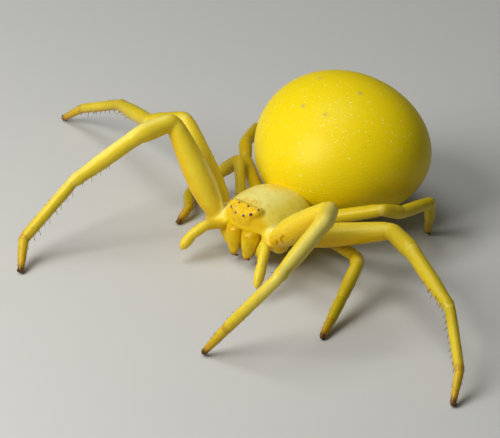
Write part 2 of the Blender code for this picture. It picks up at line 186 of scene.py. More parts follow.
class Limb:
    """A bent limb as rows of numbers, one for each ring of its skin."""

    def __init__(self, name, joints, profile, pair):
        self.name, self.pair = name, pair
        self.places, self.headings, self.stations = [], [], []
        runs = [(after - before).normalized() for before, after in zip(joints, joints[1:])]
        lengths = [(after - before).length for before, after in zip(joints, joints[1:])]
        radius_at = lambda station: np.interp(station, *zip(*profile))
        room = [0.0]
        for joint in range(1, len(runs)):
            turn = runs[joint - 1].angle(runs[joint])
            wanted = BEND * radius_at(joint) * math.tan(turn / 2)
            room.append(min(wanted, BEND_LIMIT * min(lengths[joint - 1], lengths[joint])))
        room.append(0.0)
        for run, (heading, length) in enumerate(zip(runs, lengths)):
            first, last = room[run], length - room[run + 1]
            count = max(2, round((last - first) / RING_STEP))
            for step in range(count + 1):
                reach = first + (last - first) * step / count
                self.add(joints[run] + heading * reach, heading, run + reach / length)
            if run + 1 < len(runs):
                self.add_bend(joints[run + 1], heading, runs[run + 1], room[run + 1],
                              run + last / length, run + 1 + room[run + 1] / lengths[run + 1])
        self.places, self.headings = np.array(self.places), np.array(self.headings)
        self.stations = np.array(self.stations)
        self.radii = radius_at(self.stations)
        walked = np.r_[0, np.cumsum(np.linalg.norm(np.diff(self.places, axis=0), axis=1))]
        for joint in range(1, len(runs)):
            away = walked - np.interp(joint, self.stations, walked)
            self.radii = self.radii * (
                1 - GROOVE_DEPTH * np.exp(-(away / GROOVE_WIDTH) ** 2))
        self.walked = walked
        hinge = runs[1].cross(runs[2]).normalized()
        across = -np.array(hinge) - self.headings * (self.headings @ -np.array(hinge))[:, None]
        self.across = across / np.linalg.norm(across, axis=1)[:, None]
        self.back = np.cross(self.across, self.headings)

    def add(self, place, heading, station):
        self.places.append(place)
        self.headings.append(heading)
        self.stations.append(station)

    def add_bend(self, joint, before, after, room, first, last):
        """Rings along the round bend at a joint."""
        angle = before.angle(after)
        steps = round(math.degrees(angle) / BEND_STEP)
        if steps < 2:
            return
        inward = (after - before * math.cos(angle)).normalized()
        radius = room / math.tan(angle / 2)
        start = joint - before * room
        for step in range(1, steps):
            part = angle * step / steps
            self.add(
                start + before * (radius * math.sin(part))
                + inward * (radius * (1 - math.cos(part))),
                before * math.cos(part) + inward * math.sin(part),
                first + (last - first) * step / steps)

    def rings(self):
        """The limb's skin as rings of points."""
        return [circle(*row, 20) for row in zip(
            self.places, self.across, self.back, self.radii)]

    def at(self, station, turn=0.0):
        """The surface point, way outwards and heading at a station; turn 0 is the back."""
        place, across, back, heading = (
            np.array([np.interp(station, self.stations, rows[:, axis]) for axis in range(3)])
            for rows in (self.places, self.across, self.back, self.headings))
        out = back * math.cos(math.radians(turn)) + across * math.sin(math.radians(turn))
        out = out / np.linalg.norm(out)
        radius = np.interp(station, self.stations, self.radii)
        return Vector(place + out * radius), Vector(out), Vector(heading).normalized()


limbs = [
    Limb(f"leg_{pair}_{side}", leg_joints(side, pair), leg_profile(pair), pair)
    for side in ("left", "right") for pair in HIPS]
PALP_PAIR = 5
limbs += [
    Limb(f"palp_{side}", [BODY_FRAME @ Vector(place) for place in bends],
         palp_profile(), PALP_PAIR)
    for side, bends in PALP_BENDS.items()]


# The body's skin: the shield over head and thorax, the breast plate under it, the
# leg bases, legs and feelers are cast as one closed skin, so no seam shows between
# them. Low mounds carry the eyes, and a lip edges the face above the jaws.
SHIELD_REACH = {"front": 1.56, "side": 1.66, "back": 1.80}
SHIELD_SQUARENESS = 2 / 2.2
SHIELD_CLIMBS = (
    3, 7, 12, 17, 22, 27, 32, 37, 42, 47, 52, 57, 62, 67, 72, 77, 81, 84.5, 87.5, 90)
SHIELD_EDGE = 0.02
SHIELD_HIGH = 0.98
BELLY_DEEP = 0.72
# The rings below the rim: share of its size, depth, and how far the jaws' room cuts in
BELLY_RINGS = (
    (0.992, 0.03, 0.0), (0.975, 0.08, 0.15), (0.95, 0.15, 0.38), (0.86, 0.30, 0.46),
    (0.68, 0.52, 0.42), (0.40, 0.67, 0.3))
FACE_BLOCK = {"middle": (0, -0.82, 0.36), "half": (0.64, 0.79, 0.53), "squareness": 3.0}
EYE_BAND = {
    "wide": 0.62, "high": 0.87, "ahead": 1.19, "thick": 0.165, "curve": 0.1, "droop": 0.05}
EYE_RIDGE = (
    (0.43, -1.31, 0.715), (0.50, -1.28, 0.765), (0.60, -1.20, 0.815), (0.645, -1.08, 0.82))
EYE_RIDGE_THICK = (0.12, 0.16, 0.17, 0.15)
EYES_FACE_FROM = (0, -0.75, 0.42)
EYE_SPOTS = {
    "front_median": (0.208, -1.584, 0.723), "front_lateral": (0.523, -1.474, 0.831),
    "rear_median": (0.239, -1.291, 1.037), "rear_lateral": (0.694, -1.202, 0.963)}
LIP = {"reach": 0.68, "ahead": 1.585, "curve": 0.28, "low": 0.04, "arch": 0.13, "thick": 0.06}
FEELER_BASE = (
    (1.14, -1.16, -0.20), (1.03, -1.24, -0.50), (0.85, -1.28, -0.78), (0.64, -1.28, -1.00))
FEELER_BASE_THICK = (0.25, 0.28, 0.26, 0.18)
THIGH_ROOT = {"out": (0.15, 0.07, -0.07), "radius": 0.43}
WAIST = {"from": (0, 1.3, -0.1), "to": (0, 2.4, 0.1), "radius": 0.34, "drawn_in": 0.25}
CAST_GRAIN = 0.055
SMOOTHING = (0.5, 3)
TRUNK_BLEND = (0.05, 0.15)    # where a limb's colours begin to give way, and over what width
NEAR_RINGS = 6                # how many rings are compared to find a point's own
TWO_SIDES = (("left", 1), ("right", -1))


class Cast:
    """Closed forms made of rings, gathered in millimetres."""

    def __init__(self):
        self.points, self.faces = [], []

    def add(self, rings, first_pole=None, last_pole=None):
        start, count = len(self.points), len(rings[0])
        for ring in rings:
            self.points.extend(tuple(point) for point in ring)
        for row in range(len(rings) - 1):
            low, high = start + row * count, start + (row + 1) * count
            for index in range(count):
                beside = (index + 1) % count
                self.faces.append((low + index, low + beside, high + beside, high + index))
        for pole, row in ((first_pole, 0), (last_pole, len(rings) - 1)):
            first = start + row * count
            if pole is None:
                face = tuple(range(first, first + count))
                self.faces.append(face[::-1] if row == 0 else face)
                continue
            self.points.append(tuple(pole))
            tip = len(self.points) - 1
            for index in range(count):
                edge = (first + index, first + (index + 1) % count)
                self.faces.append((edge[1], edge[0], tip) if row == 0 else (*edge, tip))

    def mesh(self, name):
        made = bpy.data.meshes.new(name)
        made.from_pydata(self.points, [], self.faces)
        made.update()
        return made


def cast_mesh(name, *forms):
    """A mesh of closed forms, each given as its rings and, where it has them, its poles."""
    cast = Cast()
    for form in forms:
        cast.add(*form)
    return cast.mesh(name)


def ball_rings(centre, radius, rows=10, sides=20):
    """Rings and poles of a ball, for the small mounds."""
    x, y, z = centre
    rings = []
    for row in range(1, rows):
        angle = math.pi * row / rows
        flat = radius * math.sin(angle)
        rings.append([
            (x + flat * math.cos(turn), y + flat * math.sin(turn), z - radius * math.cos(angle))
            for turn in turns_round(sides)])
    return rings, (x, y, z - radius), (x, y, z + radius)


def tube_rings(points, radii, sides=16):
    """Rings round a curved line of points."""
    points = np.array(points, float)
    headings = np.gradient(points, axis=0)
    headings /= np.linalg.norm(headings, axis=1)[:, None]
    back, rings = np.array((0.0, 0.0, 1.0)), []
    for place, heading, radius in zip(points, headings, radii):
        back = back - heading * (back @ heading)
        back /= np.linalg.norm(back)
        rings.append(circle(place, np.cross(back, heading), back, radius, sides))
    return rings


def shield_point(turn, climb):
    """A point of the shield: turn goes round from straight ahead, climb from crown to rim."""
    ahead, aside = math.cos(turn), math.sin(turn)
    reach = SHIELD_REACH["front"] if ahead > 0 else SHIELD_REACH["back"]
    x = SHIELD_REACH["side"] * math.copysign(abs(aside) ** SHIELD_SQUARENESS, aside)
    y = -reach * math.copysign(abs(ahead) ** SHIELD_SQUARENESS, ahead)
    face = max(0.0, ahead) ** 2
    spread = math.sin(climb) ** (1.0 - 0.40 * face)
    height = math.cos(climb) ** (1.5 - 0.90 * face)
    return Vector((x * spread, y * spread, SHIELD_EDGE + (SHIELD_HIGH - SHIELD_EDGE) * height))


def in_body(points):
    """Points of the body's own frame, placed in the stance."""
    return [BODY_FRAME @ Vector(point) for point in points]


def stand(name, data):
    """A new object of the scene that carries a mesh, a light or a camera."""
    made = bpy.data.objects.new(name, data)
    bpy.context.scene.collection.objects.link(made)
    return made


body_cast = Cast()
turns = turns_round(96)
shield_rings = [
    in_body(shield_point(turn, math.radians(climb)) for turn in turns)
    for climb in SHIELD_CLIMBS]
for share, below, hollow in BELLY_RINGS:
    ring_below = []
    for turn in turns:
        point = shield_point(turn, math.pi / 2)
        jaw_room = 1 - hollow * max(0.0, math.cos(turn)) ** 3
        ring_below.append((point.x * share, point.y * share * jaw_room, -below))
    shield_rings.append(in_body(ring_below))
body_cast.add(shield_rings[::-1], *in_body(((0, 0, -BELLY_DEEP), (0, 0, SHIELD_HIGH))))

middle, half = FACE_BLOCK["middle"], FACE_BLOCK["half"]
block_rings = []
for climb in np.linspace(-80, 80, 17):
    ring = []
    for turn in turns_round(40):
        way = np.array((
            math.cos(math.radians(climb)) * math.cos(turn),
            math.cos(math.radians(climb)) * math.sin(turn), math.sin(math.radians(climb))))
        square = (np.abs(way) ** FACE_BLOCK["squareness"]).sum() ** (1 / FACE_BLOCK["squareness"])
        ring.append(np.array(middle) + np.array(half) * way / square)
    block_rings.append(in_body(ring))
body_cast.add(block_rings)

band_share = np.linspace(-0.97, 0.97, 17)
body_cast.add(tube_rings(
    in_body((
        share * EYE_BAND["wide"], -EYE_BAND["ahead"] + EYE_BAND["curve"] * share * share,
        EYE_BAND["high"] - EYE_BAND["droop"] * share * share) for share in band_share),
    EYE_BAND["thick"] * np.sqrt(1 - np.abs(band_share) ** 4)))


def on_both_sides(places):
    """The same places on the animal's left and right, in the stance."""
    return [in_body((x * mirror, y, z) for x, y, z in places) for mirror in (1, -1)]


def add_capsule(cast, places, radii):
    """A thick line with round ends."""
    cast.add(tube_rings(places, radii))
    for place, radius in zip(places, radii):
        cast.add(*ball_rings(place, radius))


for ridge in on_both_sides(EYE_RIDGE):
    add_capsule(body_cast, ridge, EYE_RIDGE_THICK)

# An eye's mound, how deep the mound sits, and its lens, as shares of the CAD lens' radius
EYE_MOUND = 1.2
EYE_SUNK = 0.80
EYE_LENS = 0.58
eye_places = {}
for spot_name, (x, y, z) in EYE_SPOTS.items():
    for side, mirror in TWO_SIDES:
        eye = f"eye_{spot_name}_{side}"
        low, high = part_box(eye)
        radius = (high.x - low.x) / (2 * MM)
        spot = BODY_FRAME @ Vector((mirror * x, y, z))
        out = (spot - BODY_FRAME @ Vector(EYES_FACE_FROM)).normalized()
        centre = spot - out * (EYE_LENS * radius)
        eye_places[eye] = (centre, radius * EYE_LENS, out)
        body_cast.add(*ball_rings(centre - out * (EYE_SUNK * radius), radius * EYE_MOUND))

lip_share = np.linspace(-0.98, 0.98, 17)
body_cast.add(tube_rings(
    in_body((
        share * LIP["reach"], -LIP["ahead"] + LIP["curve"] * LIP["reach"] * abs(share) ** 2.2,
        LIP["low"] + LIP["arch"] * (1 - share * share)) for share in lip_share),
    LIP["thick"] * np.sqrt(1 - np.abs(lip_share) ** 3), sides=12))

for base in on_both_sides(FEELER_BASE):
    add_capsule(body_cast, base, FEELER_BASE_THICK)
for hip_place in on_both_sides([HIPS[1]]):
    side = math.copysign(1, hip_place[0].x)
    out = Vector(THIGH_ROOT["out"])
    out.x *= side
    body_cast.add(*ball_rings(hip_place[0] + out, THIGH_ROOT["radius"], 16, 32))

waist_share = np.linspace(0, 1, 8)
body_cast.add(tube_rings(
    in_body(Vector(WAIST["from"]).lerp(Vector(WAIST["to"]), share) for share in waist_share),
    WAIST["radius"] * (1 - WAIST["drawn_in"] * np.sin(math.pi * waist_share)), sides=24))

MOUTH_MOUNDS = (
    ((0.36, -0.95, -0.72), 0.27), ((-0.36, -0.95, -0.72), 0.27), ((0, -0.82, -0.74), 0.2))
for place, radius in MOUTH_MOUNDS:
    body_cast.add(*ball_rings(BODY_FRAME @ Vector(place), radius))
for limb in limbs:
    tip = Vector(limb.places[-1]) + Vector(limb.headings[-1]) * (0.6 * limb.radii[-1])
    body_cast.add(limb.rings(), Vector(limb.places[0]), tip)


def settled(holder):
    """The mesh that an object's modifiers make; the object itself goes."""
    bpy.context.view_layer.update()
    made = bpy.data.meshes.new_from_object(
        holder.evaluated_get(bpy.context.evaluated_depsgraph_get()))
    bpy.data.objects.remove(holder, do_unlink=True)
    return made


def numbers(rows, field, width=1):
    """A field of a mesh's rows as an array."""
    values = np.zeros(len(rows) * width)
    rows.foreach_get(field, values)
    return values.reshape(-1, width) if width > 1 else values


def lift(mesh, least):
    """Raises what lies lower than a height, and gives the points."""
    raised = numbers(mesh.vertices, "co", 3)
    raised[:, 2] = np.maximum(raised[:, 2], least)
    mesh.vertices.foreach_set("co", raised.ravel())
    return raised


def keep(mesh, **kept):
    """Stores a number or a vector for each vertex, for a material or a tree to read."""
    for name, values in kept.items():
        kind, field = ("FLOAT_VECTOR", "vector") if values.ndim == 2 else ("FLOAT", "value")
        attribute = mesh.attributes.new(name, kind, "POINT")
        attribute.data.foreach_set(field, np.ascontiguousarray(values, np.float32).ravel())


rough_cast = stand("rough_cast", body_cast.mesh("rough_cast"))
remesh = rough_cast.modifiers.new("one_skin", "REMESH")
remesh.mode = "VOXEL"
remesh.voxel_size = CAST_GRAIN
smooth = rough_cast.modifiers.new("even", "SMOOTH")
smooth.factor, smooth.iterations = SMOOTHING
skin_mesh = settled(rough_cast)
skin_points = lift(skin_mesh, 0.0)
skin_mesh.update()
skin_normals = numbers(skin_mesh.vertex_normals, "vector", 3)

rows = {
    key: np.concatenate([getattr(limb, key) for limb in limbs])
    for key in ("places", "headings", "stations", "radii", "across", "back")}
pair_of_row = np.concatenate([np.full(len(limb.stations), limb.pair) for limb in limbs])
limb_of_row = np.concatenate([np.full(len(limb.stations), n) for n, limb in enumerate(limbs)])
tree = kdtree.KDTree(len(rows["places"]))
for index, place in enumerate(rows["places"]):
    tree.insert(place, index)
tree.balance()
nearest = np.zeros(len(skin_points), int)
off_limb = np.zeros(len(skin_points))
for index, point in enumerate(skin_points):
    found = min(
        (distance - rows["radii"][row], row) for _, row, distance in tree.find_n(point, NEAR_RINGS))
    off_limb[index], nearest[index] = found
offset = skin_points - rows["places"][nearest]
reach_along = np.einsum("ij,ij->i", offset, rows["headings"][nearest])
pace = np.concatenate([
    np.gradient(limb.stations) / np.maximum(np.gradient(limb.walked), 1e-6) for limb in limbs])
station_here = rows["stations"][nearest] + np.clip(
    reach_along, -RING_STEP / 2, RING_STEP / 2) * pace[nearest]
trunk = np.clip((off_limb - TRUNK_BLEND[0]) / TRUNK_BLEND[1], 0, 1)
trunk = trunk * trunk * (3 - 2 * trunk)
dorsal, beside = (
    np.einsum("ij,ij->i", offset, rows[key][nearest]) / rows["radii"][nearest]
    for key in ("back", "across"))
limb_here, pair_here = limb_of_row[nearest], pair_of_row[nearest]
beside *= np.array([-1.0 if limb.name.endswith("right") else 1.0 for limb in limbs])[limb_here]
to_body = np.array(BODY_FRAME.inverted())
body_place = skin_points @ to_body[:3, :3].T + to_body[:3, 3]
keep(
    skin_mesh, trunk=trunk, station=station_here, dorsal=dorsal, beside=beside,
    pair=pair_here.astype(float), body_place=body_place)


# The materials' way of writing: a wire is a socket that takes part in arithmetic,
# and nodes of any kind come from one method.
class Wire:
    """The output socket of a node, for use in sums."""

    def __init__(self, sheet, socket):
        self.sheet, self.socket = sheet, socket

    def maths(self, operation, *others):
        return self.sheet.node("ShaderNodeMath", {"operation": operation}, self, *others)

    def __add__(self, other):
        return self.maths("ADD", other)

    def __sub__(self, other):
        return self.maths("SUBTRACT", other)

    def __mul__(self, other):
        return self.maths("MULTIPLY", other)

    def __rsub__(self, other):
        return self.sheet.node("ShaderNodeMath", {"operation": "SUBTRACT"}, other, self)

    __radd__, __rmul__ = __add__, __mul__

    def __abs__(self):
        return self.maths("ABSOLUTE")

    def within(self, low, high):
        """0 below low, 1 above high, and smooth between; low above high turns it round."""
        return self.sheet.node(
            "ShaderNodeMapRange", {"interpolation_type": "SMOOTHSTEP"}, self, low, high, 0.0, 1.0)

    def between(self, low, full, last, gone):
        """1 from full to last, and smoothly down to 0 at low and at gone."""
        return self.within(low, full) * self.within(gone, last)


class Sheet:
    """A node tree being written."""

    def __init__(self, tree):
        self.tree = tree

    def node(self, kind, settings, *values, out=0, **named):
        made = self.tree.nodes.new(kind)
        for name, value in settings.items():
            setattr(made, name, value)
        usable = [socket for socket in made.inputs if not socket.is_unavailable]
        by_name = {socket.name: socket for socket in reversed(usable)}
        pairs = list(zip(usable, values)) + [
            (by_name[name.replace("_", " ")], value) for name, value in named.items()]
        for socket, value in pairs:
            self.feed(socket, value)
        given = [socket for socket in made.outputs if not socket.is_unavailable]
        if isinstance(out, str):
            return Wire(self, next(socket for socket in given if socket.name == out))
        return Wire(self, given[out])

    def feed(self, socket, value):
        """Joins a wire to a socket, or sets the socket to a value."""
        if isinstance(value, Wire):
            self.tree.links.new(value.socket, socket)
        elif value is not None:
            socket.default_value = value

    def read(self, name, out="Fac"):
        """A value kept on the mesh, in a material."""
        return self.node("ShaderNodeAttribute", {"attribute_name": name}, out=out)

    def kept(self, name, kind="FLOAT"):
        """The same in a tree of geometry."""
        return self.node("GeometryNodeInputNamedAttribute", {"data_type": kind}, name)

    def parts(self, vector):
        """A vector's three numbers."""
        split = self.node("ShaderNodeSeparateXYZ", {}, vector)
        return [Wire(self, socket) for socket in split.socket.node.outputs]

    def blend(self, mask, below, above):
        """The colour below where the mask is 0 and the colour above where it is 1."""
        paint = [(*c, 1.0) if isinstance(c, tuple) else c for c in (below, above)]
        return self.node(
            "ShaderNodeMix", {"data_type": "RGBA"}, mask, *paint, out="Result")

    def paint(self, colour, *layers):
        """A colour with others laid over it in turn, each as a mask and a colour."""
        for mask, above in layers:
            colour = self.blend(mask, colour, above)
        return colour

    def place(self):
        """The point's place on the finished piece, in millimetres."""
        at = self.node("ShaderNodeTexCoord", {}, out="Object")
        return self.node(
            "ShaderNodeVectorMath", {"operation": "SCALE"}, at, Scale=1 / MM)

    def grain(self, at, scale, detail=2.0, roughness=0.5):
        """Soft noise from 0 to 1 with a number of waves to the millimetre."""
        return self.node(
            "ShaderNodeTexNoise", {}, Vector=at, Scale=scale, Detail=detail,
            Roughness=roughness, out="Fac")

    def dots(self, at, scale, size):
        """Round spots of a size, scattered so many to the millimetre."""
        away = self.node(
            "ShaderNodeTexVoronoi", {}, Vector=at, Scale=scale, Randomness=1.0, out="Distance")
        return away.within(size, size * 0.6)

    def near(self, at, place, reach):
        """1 at a place in millimetres, fading to 0 at a reach from it."""
        away = self.node(
            "ShaderNodeVectorMath", {"operation": "DISTANCE"}, at, tuple(place), out="Value")
        return away.within(reach, reach * 0.3)


def new_finish(name):
    """An empty material: its sheet and its shader."""
    made = bpy.data.materials.new(name)
    made.use_nodes = True
    return made, Sheet(made.node_tree), made.node_tree.nodes["Principled BSDF"]


def lay_on(sheet, shader, colour, roughness, height=None, relief=1.0):
    """Joins what varies to the shader: its colour, its roughness and its fine relief."""
    sheet.feed(
        shader.inputs["Base Color"], (*colour, 1.0) if isinstance(colour, tuple) else colour)
    sheet.feed(shader.inputs["Roughness"], roughness)
    if height is not None:
        sheet.feed(shader.inputs["Normal"], sheet.node(
            "ShaderNodeBump", {}, Strength=1.0, Distance=relief * MM, Height=height))


def set_inputs(shader, **values):
    """Sets inputs of a shader by their titles, with underscores for spaces."""
    for title, value in values.items():
        shader.inputs[title.replace("_", " ")].default_value = value


def soften(shader, weight, reach):
    """Light that soaks a little way into the cuticle, and a sheen as yellow as it is."""
    set_inputs(
        shader, Specular_IOR_Level=0.4, Specular_Tint=(1.0, 0.88, 0.22, 1.0),
        Coat_Tint=(1.0, 0.94, 0.60, 1.0), Subsurface_Weight=weight,
        Subsurface_Scale=reach * MM, Subsurface_Radius=(1.0, 0.75, 0.2))


def dark_horn(name, waves, light, dark, roughness):
    """A hard dark finish with a faint grain."""
    made, sheet, shader = new_finish(name)
    lay_on(sheet, shader, sheet.blend(sheet.grain(sheet.place(), waves), light, dark), roughness)
    return made


def finish_piece(name, mesh, finish, nodes=()):
    """A piece in metres at the origin, riding on the model's one body."""
    mesh.transform(Matrix.Scale(MM, 4))
    mesh.materials.clear()
    mesh.materials.append(finish)
    mesh.shade_smooth()
    mesh.name = name
    made = stand(name, mesh)
    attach(made, "root")
    if nodes:
        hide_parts(*nodes)


# The skin's finish: a waxy cuticle, deep yellow and a little see-through, paler
# cream along the backs of the legs and over the shield, whitish where soft joint
# skin shows, amber to dark brown at the feet, and rust marks at the leg bases.
DEEP_YELLOW = (0.76, 0.49, 0.001)
YELLOW = (0.84, 0.63, 0.002)
CREAM = (0.82, 0.68, 0.055)
PALE = (0.88, 0.80, 0.26)
# Olive used as painted shade on the legs.
LEG_SHADE_OLIVE = (0.50, 0.38, 0.006)
AMBER = (0.50, 0.25, 0.010)
BROWN = (0.12, 0.042, 0.010)
RUST = (0.36, 0.12, 0.003)
RUST_MARKS = (
    (2.06, -1.75, 0.33), (2.05, -1.72, 0.21), (2.00, -1.65, 0.08), (2.54, -1.86, 0.79),
    (2.44, -1.84, 0.69), (2.38, -1.83, 0.58), (2.37, -1.80, 0.48), (2.43, -1.77, 0.41))
RUST_REACH = 0.095
MEMBRANE = (1.36, -1.02, 0.12)
MEMBRANE_REACH = 0.42

skin_finish, sheet, shader = new_finish("waxy_yellow_skin")
at = sheet.place()
station, dorsal_wire, beside_wire, pair_wire, trunk_wire = (
    sheet.read(name) for name in ("station", "dorsal", "beside", "pair", "trunk"))
body_at = sheet.read("body_place", out="Vector")
aside, back_way, up_way = sheet.parts(body_at)
twin_at = sheet.node("ShaderNodeCombineXYZ", {}, abs(aside), back_way, up_way)

cloudy = sheet.grain(at, 1.6, 3.0)
fine = sheet.grain(at, 14.0, 3.0, 0.6)
first_pair = pair_wire.within(1.6, 1.4)
# Painted shade: the hind legs, the second pair's shins and every limb from the tibia outwards are
# darkened towards olive.
hind_leg_shade = pair_wire.between(2.4, 2.6, 4.4, 4.6)
second_pair = pair_wire.between(1.4, 1.6, 2.4, 2.6)
upper_side = dorsal_wire.maths("MAXIMUM", beside_wire)
# The front legs' pale femur stripe: partly their own pale line, partly painted highlight.
pale_stripe_and_highlight = abs(beside_wire - 0.62).within(0.34, 0.14) * dorsal_wire.within(0.1, 0.4)
pale_stripe_and_highlight = pale_stripe_and_highlight * station.between(0.95, 1.08, 1.30, 1.75) * first_pair
# The front legs' pale patella and tibia backs: partly cream pattern, partly painted highlight.
pale_shin_and_highlight = dorsal_wire.within(0.35, 0.9) * station.between(1.95, 2.3, 3.9, 4.9)
pale_shin_and_highlight = pale_shin_and_highlight * first_pair * (0.4 + cloudy * 0.6)
second_shin_shade = station.between(1.8, 2.3, 4.0, 4.6) * second_pair
outer = station.within(3.2, 4.3) * 0.35
membrane = sheet.near(twin_at, MEMBRANE, MEMBRANE_REACH)
soft_skin = station.between(0.62, 0.80, 0.96, 1.04) * pair_wire.within(4.6, 4.4)
soft_skin = soft_skin * (0.35 + dorsal_wire.within(-0.3, 0.5) * 0.5) * (0.4 + cloudy * 0.8)
joint = abs(station - station.maths("ROUND"))
collar = joint.within(0.035, 0.008) * station.within(0.9, 0.99) * cloudy.within(0.2, 0.7)
foot_wire = station + cloudy * 0.25
heel = abs(station - 5.0).within(0.09, 0.02) * fine.within(0.3, 0.6)
hair_roots = sheet.dots(at, 6.0, 0.15)
under = dorsal_wire.within(-0.55, -0.95) * station.between(1.1, 1.2, 1.9, 2.1)
rust = sheet.dots(at, 4.5, 0.20) * under * station.within(1.9, 1.3) * 0.8
for mark in RUST_MARKS:
    rust = rust + sheet.near(twin_at, mark, RUST_REACH)
rust = rust * fine.within(0.15, 0.5)
leg_colour = sheet.paint(
    DEEP_YELLOW,
    (upper_side.within(0.1, 0.95) * (0.45 + cloudy * 0.5), CREAM),
    (pale_stripe_and_highlight * 0.95, (0.96, 0.93, 0.55)),
    (pale_shin_and_highlight * 0.8, (0.92, 0.84, 0.26)),
    # painted shade in olive
    (outer + second_shin_shade * 0.55 + hind_leg_shade * 0.65, LEG_SHADE_OLIVE),
    (collar * 0.3 + soft_skin * 0.7, PALE),
    (foot_wire.within(4.6, 5.9) * 0.65, AMBER),
    (heel * 0.6, RUST),
    (foot_wire.within(5.80, 6.08), BROWN),
    (hair_roots * 0.4, AMBER),
    (rust.within(0.0, 1.0) * 0.8, RUST))

crown = sheet.near(body_at, (-0.05, 0.85, 0.95), 0.8)
mottle = sheet.grain(body_at, 4.5, 4.0, 0.75)
middle_band = abs(aside).within(1.15, 0.35) * back_way.within(-1.15, -0.75)
face = back_way.within(-1.0, -1.32)
# Darker amber round the eyes: partly the eye field's deeper tone, partly painted shade between the
# eye mounds.
eye_field_and_shade = sheet.near(body_at, (0.0, -1.42, 0.85), 1.1)
flank = up_way.within(0.35, 0.0)
shield_colour = sheet.paint(
    (0.84, 0.71, 0.11),
    (cloudy.within(0.25, 0.8) * 0.4, YELLOW),
    (middle_band * (0.25 + mottle * 0.8), (0.90, 0.84, 0.34)),
    (mottle.within(0.50, 0.66) * 0.45, PALE),
    (mottle.within(0.45, 0.30) * 0.5, DEEP_YELLOW),
    (crown * (0.3 + mottle * 0.8), (0.86, 0.60, 0.004)),
    (face * 0.9, DEEP_YELLOW),
    (eye_field_and_shade * mottle.within(0.62, 0.38), (0.72, 0.44, 0.001)),
    (flank * 0.8, YELLOW))
skin_colour = sheet.paint(
    leg_colour, (trunk_wire, shield_colour), (membrane * (0.3 + mottle), (0.90, 0.84, 0.36)))
skin_roughness = 0.30 + fine * 0.16 - (soft_skin + membrane) * 0.10
folds = (station * 120.0 + cloudy * 4.0).maths("SINE")
folds = folds * station.between(0.80, 0.90, 1.02, 1.12) * first_pair
height = fine * 0.5 + hair_roots * 0.3 + mottle * 0.6 + folds * 0.3
lay_on(sheet, shader, skin_colour, skin_roughness, height, relief=0.007)
soften(shader, 0.18, 0.25)
set_inputs(shader, Coat_Weight=0.2, Coat_Roughness=0.25)

flesh_nodes = [
    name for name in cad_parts
    if name.startswith(("leg_", "palp_")) or name == "head_and_thorax"]
bare_skin = skin_mesh.copy()
finish_piece("skin", skin_mesh, skin_finish, flesh_nodes)


# The jaws: two broad amber cones side by side below the lip, each ending in a
# small dark fang that is folded against its inner side.
JAW_AXIS = ((0.40, -1.33, 0.02), (0.40, -1.40, -0.32), (0.327, -1.673, -1.221))
JAW_BEND = 0.26      # where a jaw bends, as a share of the way down
JAW_SHAPE = (
    (0.0, 0.38, 0.32), (0.08, 0.39, 0.37), (0.16, 0.392, 0.40), (0.26, 0.388, 0.40),
    (0.38, 0.365, 0.365), (0.50, 0.335, 0.32), (0.62, 0.30, 0.27), (0.74, 0.25, 0.22),
    (0.84, 0.20, 0.175), (0.91, 0.155, 0.14), (0.96, 0.115, 0.105), (0.99, 0.06, 0.055))
FANG = {"thick": 0.07, "inward": 0.20, "back": 0.20, "bow": 0.18}
jaw_finish, sheet, shader = new_finish("amber_jaw")
at = sheet.place()
down = sheet.read("down")
patchy = sheet.grain(at, 3.5, 3.0)
jaw_colour = sheet.paint(
    (0.64, 0.41, 0.001),
    (patchy.within(0.3, 0.7), (0.74, 0.52, 0.001)),
    # painted shade: a darker ochre band at the jaws' tops, where the lip shades them
    (down.within(0.20, 0.08) * 0.8, (0.60, 0.36, 0.002)),
    ((down + patchy * 0.15).within(0.86, 1.04), (0.34, 0.075, 0.004)),
    (sheet.dots(at, 9.0, 0.17) * 0.5, (0.45, 0.20, 0.01)))
lay_on(sheet, shader, jaw_colour, 0.22 + patchy * 0.2,
       sheet.grain(at, 12.0, 3.0) + patchy * 2.0, relief=0.010)
soften(shader, 0.15, 0.2)
set_inputs(shader, Coat_Weight=0.2, Coat_Roughness=0.2)

fang_finish = dark_horn("dark_fang", 6.0, (0.16, 0.03, 0.01), (0.05, 0.012, 0.006), 0.22)

for side, mirror in TWO_SIDES:
    top, bend, tip = (Vector((x * mirror, y, z)) for x, y, z in JAW_AXIS)
    rings, angles = [], turns_round(28)
    for share, wide, deep in JAW_SHAPE:
        middle = top.lerp(bend, share / JAW_BEND) if share < JAW_BEND else (
            bend.lerp(tip, (share - JAW_BEND) / (1 - JAW_BEND)))
        rings.append(in_body(
            (middle.x + wide * math.cos(angle), middle.y + deep * math.sin(angle), middle.z)
            for angle in angles))
    mesh = cast_mesh("jaw", (rings, *in_body((top + (top - bend) * 0.1, tip))))
    shares = [share for share, _, _ in JAW_SHAPE]
    keep(mesh, down=np.r_[np.repeat(shares, len(angles)), 0.0, 1.0])
    finish_piece(f"jaw_{side}", mesh, jaw_finish, [f"chelicera_{side}"])

    fang_line = [
        tip + Vector((mirror * (0.10 - FANG["inward"] * share), 0.02 + FANG["back"] * share,
                      0.10 - FANG["bow"] * math.sin(math.pi * share * 0.7)))
        for share in np.linspace(0, 1, 10)]
    rings = tube_rings(
        in_body(fang_line), FANG["thick"] * (1.02 - np.linspace(0, 1, 10)) ** 0.7, 12)
    mesh = cast_mesh("fang", (rings, None, np.mean(rings[-1], axis=0)))
    finish_piece(f"fang_{side}", mesh, fang_finish)


